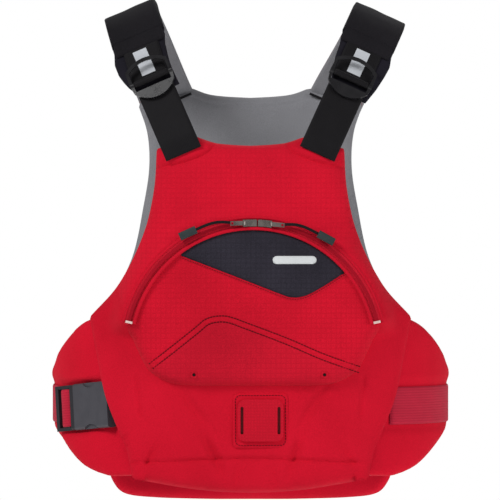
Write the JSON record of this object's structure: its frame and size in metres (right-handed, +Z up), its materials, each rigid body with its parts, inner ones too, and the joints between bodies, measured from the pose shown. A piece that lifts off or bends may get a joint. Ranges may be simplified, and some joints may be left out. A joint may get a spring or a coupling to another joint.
{
  "type": "life jacket",
  "caption": "Pull-over paddling life jacket with foam front, back and side panels, clamshell chest pocket, webbing shoulder straps and a side-release belt buckle.",
  "frame": {"origin": "centre of the torso opening at the height of the front hem, on the mount torso", "axes": "+Z up towards the shoulders, -Y towards the wearer's front, +X to the viewer's right"},
  "size_m": [0.4078, 0.3155, 0.519],
  "materials": {
    "buckle_black": "moulded acetal",
    "buckle_grey": "moulded acetal",
    "cord_black": "braided cord",
    "eyelet_dark": "moulded",
    "foam": "closed-cell foam",
    "grip_dark": "moulded, matt",
    "lining_grey": "smooth woven lining",
    "pad_charcoal": "neoprene faced with knit",
    "reflective": "reflective tape",
    "ripstop_charcoal": "ripstop nylon, fine grid",
    "ripstop_red": "ripstop nylon, fine grid",
    "smooth_red": "woven nylon, matt",
    "tab_red": "moulded, matt",
    "thread_white": "dense stitching",
    "webbing_black": "woven webbing",
    "webbing_maroon": "ribbed webbing",
    "zip_coil": "nylon coil",
    "zip_metal": "cast zinc",
    "zip_tape": "woven zip tape"
  },
  "bodies": {
    "jacket": {"anchor_webbing_left": "webbing_black", "anchor_webbing_right": "webbing_black", "back_cover": "smooth_red", "back_foam": "foam", "back_hem_band": "smooth_red", "back_lining": "lining_grey", "back_strap_bartacks": "webbing_black", "back_strap_left": "lining_grey", "back_strap_right": "lining_grey", "buckle_socket": "buckle_grey", "chest_panel": "ripstop_red", "drain_eyelets": "eyelet_dark", "front_foam": "foam", "front_hem_band": "smooth_red", "front_lining": "lining_grey", "lash_tab": "tab_red", "lash_tab_patch": "smooth_red", "lower_wrap_panel": "smooth_red", "pocket_body": "ripstop_red", "pocket_upper_panel": "ripstop_charcoal", "reflective_tab_left": "reflective", "reflective_tab_right": "reflective", "shoulder_pad_left": "pad_charcoal", "shoulder_pad_right": "pad_charcoal", "shoulder_webbing_left": "webbing_black", "shoulder_webbing_right": "webbing_black", "shoulder_yoke_left": "smooth_red", "shoulder_yoke_right": "smooth_red", "side_belt_left": "webbing_maroon", "side_belt_right": "webbing_maroon", "side_cover_left": "smooth_red", "side_cover_right": "smooth_red", "side_foam_left": "foam", "side_foam_right": "foam", "side_lining_left": "lining_grey", "side_lining_right": "lining_grey", "socket_webbing": "webbing_maroon", "strap_keeper_left": "pad_charcoal", "strap_keeper_right": "pad_charcoal", "zip_end_bartacks": "thread_white", "zipper_chain": "zip_coil", "zipper_tape": "zip_tape", "zipper_welt": "smooth_red"},
    "zip_slider_left": {"zip_slider_left": "zip_metal"},
    "zip_slider_right": {"zip_slider_right": "zip_metal"},
    "zip_pull_left": {"zip_pull_tab_left": "zip_metal", "zip_cord_left": "cord_black", "zip_grip_left": "grip_dark"},
    "zip_pull_right": {"zip_pull_tab_right": "zip_metal", "zip_cord_right": "cord_black", "zip_grip_right": "grip_dark"},
    "ladder_lock_left": {"ladder_lock_left": "buckle_black"},
    "ladder_lock_right": {"ladder_lock_right": "buckle_black"},
    "buckle_plug": {"buckle_plug": "buckle_grey", "plug_belt_loop": "webbing_maroon"},
    "prong_upper": {"buckle_prong_upper": "buckle_grey"},
    "prong_lower": {"buckle_prong_lower": "buckle_grey"}
  },
  "joints": [
    {"name": "zip_slider_left_travel", "type": "hinge", "parent": "jacket", "child": "zip_slider_left", "pos_m": [0.0025, -0.159, 0.1485], "axis": [0, -1, 0], "range_deg": [0, 71]},
    {"name": "zip_pull_left_lift", "type": "hinge", "parent": "zip_slider_left", "child": "zip_pull_left", "pos_m": [-0.0065, -0.165, 0.27532], "axis": [-0.0244, 0, 0.9997], "range_deg": [0, 100]},
    {"name": "zip_slider_right_travel", "type": "hinge", "parent": "jacket", "child": "zip_slider_right", "pos_m": [0.0025, -0.159, 0.1485], "axis": [0, 1, 0], "range_deg": [0, 67]},
    {"name": "zip_pull_right_lift", "type": "hinge", "parent": "zip_slider_right", "child": "zip_pull_right", "pos_m": [0.02033, -0.165, 0.27438], "axis": [-0.0941, 0, -0.9956], "range_deg": [0, 100]},
    {"name": "ladder_lock_left_tilt", "type": "hinge", "parent": "jacket", "child": "ladder_lock_left", "pos_m": [-0.09978, -0.12653, 0.42088], "axis": [-0.9171, 0, -0.3987], "range_deg": [0, 15]},
    {"name": "ladder_lock_right_tilt", "type": "hinge", "parent": "jacket", "child": "ladder_lock_right", "pos_m": [0.10108, -0.12653, 0.42029], "axis": [-0.91, 0, 0.4147], "range_deg": [0, 15]},
    {"name": "buckle_release", "type": "slide", "parent": "jacket", "child": "buckle_plug", "axis": [-0.6269, 0.7742, -0.0872], "range_m": [0, 0.034]},
    {"name": "prong_upper_squeeze", "type": "hinge", "parent": "buckle_plug", "child": "prong_upper", "pos_m": [-0.17429, -0.08035, 0.10461], "axis": [0.7771, 0.6293, 0], "range_deg": [0, 6], "stiffness_Nm_per_rad": 0.2},
    {"name": "prong_lower_squeeze", "type": "hinge", "parent": "buckle_plug", "child": "prong_lower", "pos_m": [-0.17259, -0.08245, 0.07372], "axis": [0.7771, 0.6293, 0], "range_deg": [-6, 0], "stiffness_Nm_per_rad": 0.2}
  ],
  "couplings": [
    {"joint": "prong_lower_squeeze", "follows": "prong_upper_squeeze", "ratio": -1}
  ]
}
